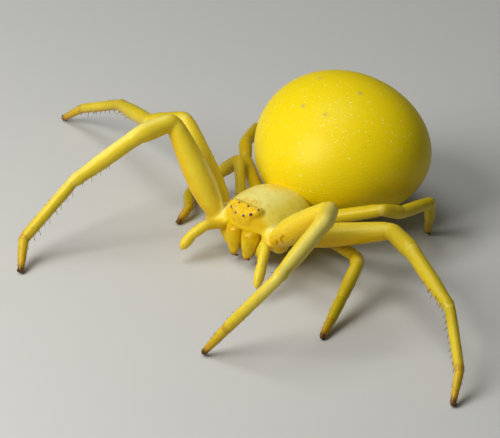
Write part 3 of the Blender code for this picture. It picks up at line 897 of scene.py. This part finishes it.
# The eyes: eight dark glassy domes in two rows, each in a pale ring.
eye_finish, sheet, shader = new_finish("dark_eye")
off_axis = sheet.read("off_axis")
EYE_COLOURS = (
    (0.0, (0.030, 0.008, 0.004)), (0.42, (0.070, 0.016, 0.006)), (0.54, (0.26, 0.07, 0.02)),
    (0.66, (0.62, 0.36, 0.14)), (0.90, (0.80, 0.55, 0.05)))
eye_colour = sheet.node("ShaderNodeValToRGB", {}, off_axis)
ramp = eye_colour.socket.node.color_ramp
while len(ramp.elements) < len(EYE_COLOURS):
    ramp.elements.new(1.0)
for element, (place, colour) in zip(ramp.elements, EYE_COLOURS):
    element.position, element.color = place, (*colour, 1.0)
lay_on(sheet, shader, eye_colour, 0.06)
set_inputs(shader, Coat_Weight=1.0, Coat_Roughness=0.03)
for eye, (centre, radius, out) in eye_places.items():
    turn = out.to_track_quat("Z", "Y").to_matrix().to_4x4()
    mesh = cast_mesh(eye, ball_rings((0, 0, 0), radius, rows=16, sides=28))
    rise = np.clip(numbers(mesh.vertices, "co", 3)[:, 2] / radius, -1, 1)
    keep(mesh, off_axis=np.arccos(rise) / (math.pi / 2))
    mesh.transform(Matrix.Translation(centre) @ turn)
    finish_piece(f"lens_{eye[4:]}", mesh, eye_finish, [eye])


# The abdomen: a soft swollen bag, wider than long, drawn in at the waist, with
# faint wrinkles round its front, shallow muscle pits on its back, a slit below,
# and a cluster of spinnerets behind.
ABDOMEN_HALF = Vector((3.75, 3.3, 2.82))
ABDOMEN_BACK = 4.45
ABDOMEN_UP = 0.85
ABDOMEN_NOSE_DOWN = 8.0
ABDOMEN_SWELL = 0.13
ABDOMEN_BELLY = 0.95
ABDOMEN_FRAME = (
    BODY_FRAME
    @ Matrix.Translation((0, ABDOMEN_BACK, ABDOMEN_UP))
    @ Matrix.Rotation(math.radians(ABDOMEN_NOSE_DOWN), 4, "X"))
SPINNERETS_AT = Vector((0, 2.35, -1.35))
SPINNERETS = ((0.25, 0.20, 0.66, 0.22), (0.21, -0.20, 0.66, 0.20))
SPINNERET_WAY = (0.15, 0.75, -0.55)
SPINNERET_PROFILE = ((0, 0.5, 0.55, 0.6, 0.88, 1), (1, 0.96, 0.84, 0.88, 0.66, 0.3))
MUSCLE_PITS = ((0.58, -1.0), (1.04, 0.62))
PIT_DEPTH = 0.028
PIT_RADIUS = 0.085
RIPPLE_DEPTH = 0.0012
SLIT = {"back": -1.55, "width": 0.1, "half": 1.3, "depth": 0.03}

ROWS, SIDES = 150, 220
egg_rings = []
for row in range(1, ROWS):
    angle = math.pi * row / ROWS
    fullness = math.sin(angle) * (1 - ABDOMEN_SWELL * math.cos(angle))
    ring = []
    for around in turns_round(SIDES):
        height = math.sin(around)
        tall = ABDOMEN_HALF.z * (1 if height > 0 else ABDOMEN_BELLY)
        ring.append((
            ABDOMEN_HALF.x * fullness * math.cos(around), -ABDOMEN_HALF.y * math.cos(angle),
            tall * fullness * height))
    egg_rings.append(ring)
abdomen_mesh = cast_mesh(
    "abdomen", (egg_rings, (0, -ABDOMEN_HALF.y, 0), (0, ABDOMEN_HALF.y, 0)))
egg_points = numbers(abdomen_mesh.vertices, "co", 3)
egg_normals = numbers(abdomen_mesh.vertex_normals, "vector", 3)
x, y, z = egg_points.T
sink = np.zeros(len(egg_points))
for aside_by, back_by in MUSCLE_PITS:
    for mirror in (1, -1):
        away = np.hypot(x - mirror * aside_by, y - back_by)
        sink += PIT_DEPTH * np.exp(-(away / PIT_RADIUS) ** 2) * (z > 0)
front = np.clip((-y - 1.0) / 1.8, 0, 1)
ripple = np.sin(17 * z + 2.0 * np.sin(1.1 * x + 0.9 * y) + 0.8 * np.sin(3.1 * x - 2 * y))
sink += RIPPLE_DEPTH * front * np.clip((1.6 - z) / 2.4, 0, 1) * ripple
sink += SLIT["depth"] * (z < 0) * (np.abs(x) < SLIT["half"]) * np.exp(
    -((y - SLIT["back"]) / SLIT["width"]) ** 2)
egg_points -= egg_normals * sink[:, None]
abdomen_mesh.vertices.foreach_set("co", egg_points.ravel())
keep(abdomen_mesh, egg_place=egg_points, pit=np.clip(sink / PIT_DEPTH, 0, 1) * (z > 0.4))
abdomen_mesh.transform(ABDOMEN_FRAME)

abdomen_finish, sheet, shader = new_finish("satin_lemon_abdomen")
egg_at = sheet.read("egg_place", out="Vector")
_, egg_y, egg_z = sheet.parts(egg_at)
LEMON = (0.86, 0.66, 0.002)
# Olive used as painted shade on the abdomen's lower part.
UNDERSIDE_SHADE_OLIVE = (0.44, 0.36, 0.002)
FLECK = (0.95, 0.90, 0.38)
cloudy = sheet.grain(egg_at, 0.7, 3.0)
fine = sheet.grain(egg_at, 11.0, 3.0, 0.6)
drawn = sheet.node("ShaderNodeMapping", {}, Vector=egg_at, Scale=(1.0, 2.2, 1.0))
upper = egg_z.within(-0.6, 1.2)
flecks = sheet.dots(drawn, 3.0, 0.16) * cloudy.within(0.38, 0.56) * upper
flecks = flecks + sheet.dots(egg_at, 5.0, 0.20) * cloudy.within(0.56, 0.40) * upper * 0.6
flecks = flecks * (0.5 + fine)
abdomen_colour = sheet.paint(
    LEMON,
    (cloudy.within(0.3, 0.75) * 0.25, (0.80, 0.64, 0.01)),
    # painted shade: darker olive towards the underside
    (egg_z.within(0.6, -2.2) * 0.65, UNDERSIDE_SHADE_OLIVE),
    (flecks.within(0.0, 1.0) * 0.75, FLECK),
    (sheet.dots(egg_at, 1.7, 0.045) * 0.8, (0.20, 0.12, 0.01)),
    (sheet.read("pit") * 0.8, (0.40, 0.38, 0.14)))
wave = sheet.node(
    "ShaderNodeTexWave", {"bands_direction": "Z", "wave_profile": "SIN"}, Vector=egg_at,
    Scale=2.6, Distortion=5.0, Detail=3.0, Detail_Scale=0.9, out="Fac")
wrinkle = wave * egg_y.within(2.2, -1.6) * (0.2 + egg_z.within(1.8, -0.6) * 0.6)
lay_on(
    sheet, shader, abdomen_colour, 0.46 + fine * 0.14, fine * 0.25 + wrinkle * 0.7,
    relief=0.008)
soften(shader, 0.15, 0.3)
set_inputs(shader, Coat_Weight=0.15, Coat_Roughness=0.3)
finish_piece("abdomen_skin", abdomen_mesh, abdomen_finish, ["abdomen"])

spinneret_finish, sheet, shader = new_finish("spinneret_skin")
at = sheet.place()
out_by = sheet.read("out_by")
spinneret_colour = sheet.blend(out_by.within(0.2, 1.0), (0.74, 0.56, 0.03), (0.42, 0.26, 0.03))
lay_on(sheet, shader, spinneret_colour, 0.42, sheet.grain(at, 16.0, 3.0), relief=0.01)
for number, (aside_by, back_by, length, radius) in enumerate(SPINNERETS):
    for side, mirror in TWO_SIDES:
        start = SPINNERETS_AT + Vector((mirror * aside_by, back_by, 0))
        run = Vector((mirror * SPINNERET_WAY[0], *SPINNERET_WAY[1:])).normalized()
        shares = np.linspace(0, 1, 14)
        rings = tube_rings(
            [ABDOMEN_FRAME @ (start + run * (length * share)) for share in shares],
            radius * np.interp(shares, *SPINNERET_PROFILE), 20)
        tip = ABDOMEN_FRAME @ (start + run * (length * 1.02))
        mesh = cast_mesh("spinneret", (rings, None, tip))
        keep(mesh, out_by=np.r_[np.repeat(shares, 20), 1.0])
        finish_piece(f"spinneret_{number}_{side}", mesh, spinneret_finish)


# The claws: two small dark hooks at the brown tip of every foot.
CLAW = {"long": 0.17, "thick": 0.035, "apart": 0.05, "station": 5.93, "sunk": 0.03}
claw_finish = dark_horn("dark_claw", 8.0, (0.05, 0.02, 0.01), (0.015, 0.007, 0.005), 0.25)
for limb in limbs:
    if limb.pair == PALP_PAIR:
        continue
    cast = Cast()
    for mirror in (1, -1):
        base, out, heading = limb.at(CLAW["station"])
        across = heading.cross(out)
        line = []
        for share in np.linspace(0, 1, 9):
            bent = CLAW["long"] * (
                heading * share * 0.7 + out * (0.35 * math.sin(math.pi * share) - 0.55 * share))
            place = base - out * CLAW["sunk"] + across * (mirror * CLAW["apart"]) + bent
            place.z = max(place.z, CLAW["thick"] * 1.06)
            line.append(place)
        cast.add(tube_rings(line, CLAW["thick"] * (1.05 - np.linspace(0, 1, 9)), 8))
    finish_piece(f"claws_{limb.name}", cast.mesh("claws"), claw_finish)


# The bristles: short dark hairs that lean towards the foot on every limb, and
# pairs of stout spines under the long front shins and feet, with which the
# animal holds what it catches. Each hair is a thin curved cone.
def bristle_tree(name, scattered):
    """A tree that sets a hair on each point, or on points scattered over a skin."""
    made = bpy.data.node_groups.new(name, "GeometryNodeTree")
    face = made.interface
    face.new_socket("Geometry", in_out="INPUT", socket_type="NodeSocketGeometry")
    for title, value in (("Density", 20.0), ("Long", 0.15), ("Thick", 0.008), ("Bend", 0.25)):
        face.new_socket(title, in_out="INPUT", socket_type="NodeSocketFloat").default_value = value
    face.new_socket("Seed", in_out="INPUT", socket_type="NodeSocketInt")
    face.new_socket("Material", in_out="INPUT", socket_type="NodeSocketMaterial")
    face.new_socket("Geometry", in_out="OUTPUT", socket_type="NodeSocketGeometry")
    sheet = Sheet(made)
    given = made.nodes.new("NodeGroupInput")
    ask = {socket.name: Wire(sheet, socket) for socket in given.outputs}
    if scattered:
        points = sheet.node(
            "GeometryNodeDistributePointsOnFaces", {}, ask["Geometry"],
            Density=sheet.kept("cover") * ask["Density"], Seed=ask["Seed"])
    else:
        points = sheet.node("GeometryNodeMeshToPoints", {}, ask["Geometry"])
    stem = sheet.node("GeometryNodeCurvePrimitiveLine", {}, (0, 0, 0), (0, 0, 1))
    stem = sheet.node("GeometryNodeResampleCurve", {}, stem, Count=5)
    along = sheet.node("GeometryNodeSplineParameter", {}, out="Factor")
    bow = sheet.node("ShaderNodeCombineXYZ", {}, along * along * ask["Bend"], 0.0, 0.0)
    stem = sheet.node("GeometryNodeSetPosition", {}, stem, Offset=bow)
    ring = sheet.node("GeometryNodeCurvePrimitiveCircle", {}, 4)
    taper = 1.0 - along * 0.88
    stem = sheet.node("GeometryNodeSetCurveRadius", {}, stem, Radius=taper)
    hair = sheet.node("GeometryNodeCurveToMesh", {}, stem, ring, Fill_Caps=True)
    hair = sheet.node("GeometryNodeStoreNamedAttribute", {"data_type": "FLOAT"}, hair,
                      Name="up_hair", Value=along)
    jitter = sheet.node(
        "FunctionNodeRandomValue", {"data_type": "FLOAT_VECTOR"},
        Min=(-0.25, -0.25, -0.25), Max=(0.25, 0.25, 0.25), Seed=ask["Seed"])
    lie = sheet.node(
        "ShaderNodeVectorMath", {"operation": "ADD"}, sheet.kept("lie", "FLOAT_VECTOR"), jitter)
    turned = sheet.node("FunctionNodeAlignRotationToVector", {"axis": "Z"}, Vector=lie)
    size = sheet.node(
        "FunctionNodeRandomValue", {"data_type": "FLOAT"}, Min=0.65, Max=1.25, Seed=ask["Seed"])
    girth = sheet.kept("girth")
    thick = ask["Thick"] * girth
    scale = sheet.node("ShaderNodeCombineXYZ", {}, thick, thick, ask["Long"] * size * girth)
    bristles = sheet.node(
        "GeometryNodeInstanceOnPoints", {}, points, Instance=hair, Rotation=turned, Scale=scale)
    bristles = sheet.node("GeometryNodeRealizeInstances", {}, bristles)
    bristles = sheet.node("GeometryNodeSetMaterial", {}, bristles, Material=ask["Material"])
    done = made.nodes.new("NodeGroupOutput")
    sheet.feed(done.inputs[0], bristles)
    return made


HAIR_LOW = 0.004      # the least height of a hair's points over the floor
UNWRAP_LONG = 6.2     # stations that the height of the bake map holds
ROOT_SUNK = 0.02      # how deep a spine's or seta's root sits in the skin
BAKE_PATCH = 0.0015   # half the width of a hair's patch on the bake map


def grow(name, base_mesh, tree, **values):
    """Grows hairs on a mesh in millimetres and finishes them as a piece."""
    values["Material"] = bristle_finish
    holder = stand(name + "_base", base_mesh)
    modifier = holder.modifiers.new("grow", "NODES")
    modifier.node_group = tree
    for item in tree.interface.items_tree:
        if item.in_out == "INPUT" and item.name in values:
            modifier[item.identifier] = values[item.name]
    mesh = settled(holder)
    lift(mesh, HAIR_LOW)
    set_bake_map(mesh)
    finish_piece(name, mesh, bristle_finish)


def set_bake_map(mesh):
    """A map on which each hair is a small patch at its root's place on the skin's unwrap."""
    corner_of = np.zeros(len(mesh.loops), int)
    mesh.loops.foreach_get("vertex_index", corner_of)
    unwrap = numbers(mesh.attributes["unwrap"].data, "vector", 3)[:, :2]
    up = numbers(mesh.attributes["up_hair"].data, "value")
    patch = np.stack([np.sin(np.arange(len(up)) * 2.4), 2 * up - 1], axis=1) * BAKE_PATCH
    layer = mesh.uv_layers.new(name="OFBake")
    layer.data.foreach_set("uv", (unwrap + patch)[corner_of].ravel())


bristle_finish, sheet, shader = new_finish("dark_bristle")
up_hair = sheet.read("up_hair")
bristle_colour = sheet.blend(up_hair, (0.26, 0.13, 0.015), (0.06, 0.03, 0.01))
bristle_colour = sheet.blend(sheet.read("fairness"), bristle_colour, (0.78, 0.64, 0.22))
lay_on(sheet, shader, bristle_colour, 0.4)

points = numbers(bare_skin.vertices, "co", 3)
heading = rows["headings"][nearest]
flat_way = heading - skin_normals * np.einsum("ij,ij->i", heading, skin_normals)[:, None]
flat_way /= np.maximum(np.linalg.norm(flat_way, axis=1), 1e-6)[:, None]
LEAN = math.radians(38)
on_palp = pair_here == PALP_PAIR
LEG_COVER = (
    (1.05, 2.0, 2.2, 3.0, 4.0, 5.0, 5.8, 6.0), (1.5, 1.5, 0.35, 0.2, 0.4, 1.2, 2.2, 0.8))
PALP_COVER = ((0.7, 1.2, 2.0, 3.0), (0.0, 0.9, 1.8, 2.4))
cover = (1 - trunk) * np.where(
    on_palp, np.interp(station_here, *PALP_COVER),
    (station_here > 1.05) * np.interp(station_here, *LEG_COVER))
keep(
    bare_skin,
    lie=flat_way * math.cos(LEAN) + skin_normals * math.sin(LEAN),
    cover=cover * (points[:, 2] > 0.06),
    girth=np.where(on_palp, 1.35, np.interp(station_here, (1.9, 4.5, 5.5), (0.6, 1.0, 1.2))),
    fairness=np.where(on_palp, 0.8, 0.0),
    unwrap=np.stack([
        (limb_here + 0.5 + 0.45 * beside.clip(-1, 1)) / len(limbs),
        station_here / UNWRAP_LONG, np.zeros(len(points))], axis=1))
grow("leg_bristles", bare_skin, bristle_tree("short_hair", True),
     Density=24.0, Long=0.065, Thick=0.0033, Bend=0.25, Seed=4)


def root_mesh(name, places, lies, unwraps):
    """Points from which single hairs grow, each with the way it lies."""
    made = bpy.data.meshes.new(name)
    made.from_pydata([tuple(place) for place in places], [], [])
    even = np.ones(len(places))
    keep(
        made, lie=np.array([tuple(lie) for lie in lies]), unwrap=np.array(unwraps),
        cover=even, girth=even, fairness=even * 0)
    return made


SPINE_STATIONS = (*np.linspace(4.10, 4.88, 8), *np.linspace(3.52, 3.9, 4))
SPINE_SPREAD = 38.0
SPINE_LEAN = 42.0
spine_points, spine_lies, spine_unwraps = [], [], []
for number, limb in enumerate(limbs):
    if limb.pair > 2:
        continue
    for spot in SPINE_STATIONS:
        for mirror in (1, -1):
            place, out, along = limb.at(spot, 180 + mirror * SPINE_SPREAD)
            lean = math.radians(SPINE_LEAN)
            spine_points.append(place - out * ROOT_SUNK)
            spine_lies.append(out * math.cos(lean) + along * math.sin(lean))
            spine_unwraps.append((
                (number + 0.5 + 0.3 * mirror) / len(limbs), spot / UNWRAP_LONG, 0))
spine_base = root_mesh("spine_base", spine_points, spine_lies, spine_unwraps)
grow("leg_spines", spine_base, bristle_tree("stout_spine", False),
     Long=0.22, Thick=0.013, Bend=-0.15, Seed=9)

SETAE = (
    (1.45, -0.80, 0.30), (1.38, -0.72, 0.48), (1.42, -0.42, 0.62), (1.30, -0.60, 0.62),
    (0.62, -0.95, 0.95), (0.30, -0.80, 1.02), (1.15, -0.95, 0.60), (1.50, -0.15, 0.55),
    (1.22, 0.35, 0.75), (0.30, 0.35, 1.02))
SETA_LEAN = 50.0
seta_points, seta_lies = [], []
for place in SETAE:
    for mirror in (1, -1):
        wanted = np.array(BODY_FRAME @ Vector((place[0] * mirror, *place[1:])))
        closest = int(np.argmin(((points - wanted) ** 2).sum(axis=1)))
        out = skin_normals[closest]
        ahead = np.array(BODY_FRAME.to_3x3() @ Vector((0, -1, 0)))
        ahead -= out * (ahead @ out)
        lean = math.radians(SETA_LEAN)
        seta_points.append(points[closest] - out * ROOT_SUNK)
        seta_lies.append(out * math.sin(lean) + ahead * (math.cos(lean) / np.linalg.norm(ahead)))
seta_base = root_mesh("seta_base", seta_points, seta_lies, [
    ((number + 0.5) / len(seta_points), 0.98, 0) for number in range(len(seta_points))])
grow("shield_setae", seta_base, bristle_tree("shield_hair", False),
     Long=0.17, Thick=0.005, Bend=0.3, Seed=5)


# The stage: a plain pale floor, soft studio light from the upper left, and the
# camera at the photograph's angle, with the photograph's slight roll.
FLOOR_HALF = 400.0
floor_mesh = bpy.data.meshes.new("floor")
floor_mesh.from_pydata(
    [(x * FLOOR_HALF * MM, y * FLOOR_HALF * MM, 0)
     for x, y in ((-1, -1), (1, -1), (1, 1), (-1, 1))],
    [], [(0, 1, 2, 3)])
floor_finish, sheet, shader = new_finish("pale_floor")
lay_on(sheet, shader, (0.60, 0.60, 0.58), 0.9)
floor_mesh.materials.append(floor_finish)
floor = stand("floor", floor_mesh)
floor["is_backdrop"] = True

CAMERA = {"azimuth": 39.5, "elevation": 30.0, "roll": 4.0, "away": 130.0, "width": 19.88}
LOOKS_AT = Vector((-0.79, 0.48, 0.93))
back = direction(CAMERA["azimuth"], CAMERA["elevation"])
level = direction(CAMERA["azimuth"] + 90, 0)
upright = back.cross(level)
roll = math.radians(CAMERA["roll"])
right = level * math.cos(roll) + upright * math.sin(roll)
upward = upright * math.cos(roll) - level * math.sin(roll)
camera_data = bpy.data.cameras.new("camera")
camera_data.sensor_width = 36.0
camera_data.lens = camera_data.sensor_width * CAMERA["away"] / CAMERA["width"]
camera_data.clip_start, camera_data.clip_end = 0.005, 10.0
camera = stand("camera", camera_data)
turned = Matrix((right, upward, back)).transposed().to_4x4()
camera.matrix_world = Matrix.Translation((LOOKS_AT + back * CAMERA["away"]) * MM) @ turned
bpy.context.scene.camera = camera


def soft_light(name, towards, away, size, power, colour=(1.0, 1.0, 1.0)):
    """A square soft light that shines at the model from a direction."""
    data = bpy.data.lights.new(name, "AREA")
    data.size, data.energy, data.color = size * MM, power, colour
    made = stand(name, data)
    way = Vector(towards).normalized()
    target = Vector((0, 2, 2))
    made.matrix_world = Matrix.Translation((target + way * away) * MM) @ (
        way.to_track_quat("Z", "Y").to_matrix().to_4x4())


soft_light("key_light", (-0.22, -0.76, 0.58), 80.0, 44.0, 0.053, (1.0, 0.985, 0.95))
soft_light("side_light", (-0.80, -0.50, 0.40), 90.0, 60.0, 0.006)
soft_light("top_light", (-0.35, -0.15, 1.0), 110.0, 60.0, 0.039)
world = bpy.context.scene.world or bpy.data.worlds.new("studio")
bpy.context.scene.world = world
world.use_nodes = True
set_inputs(world.node_tree.nodes["Background"], Color=(0.95, 1.0, 0.95, 1.0), Strength=0.07)
bpy.context.scene.view_settings.view_transform = "Standard"

low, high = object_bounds()
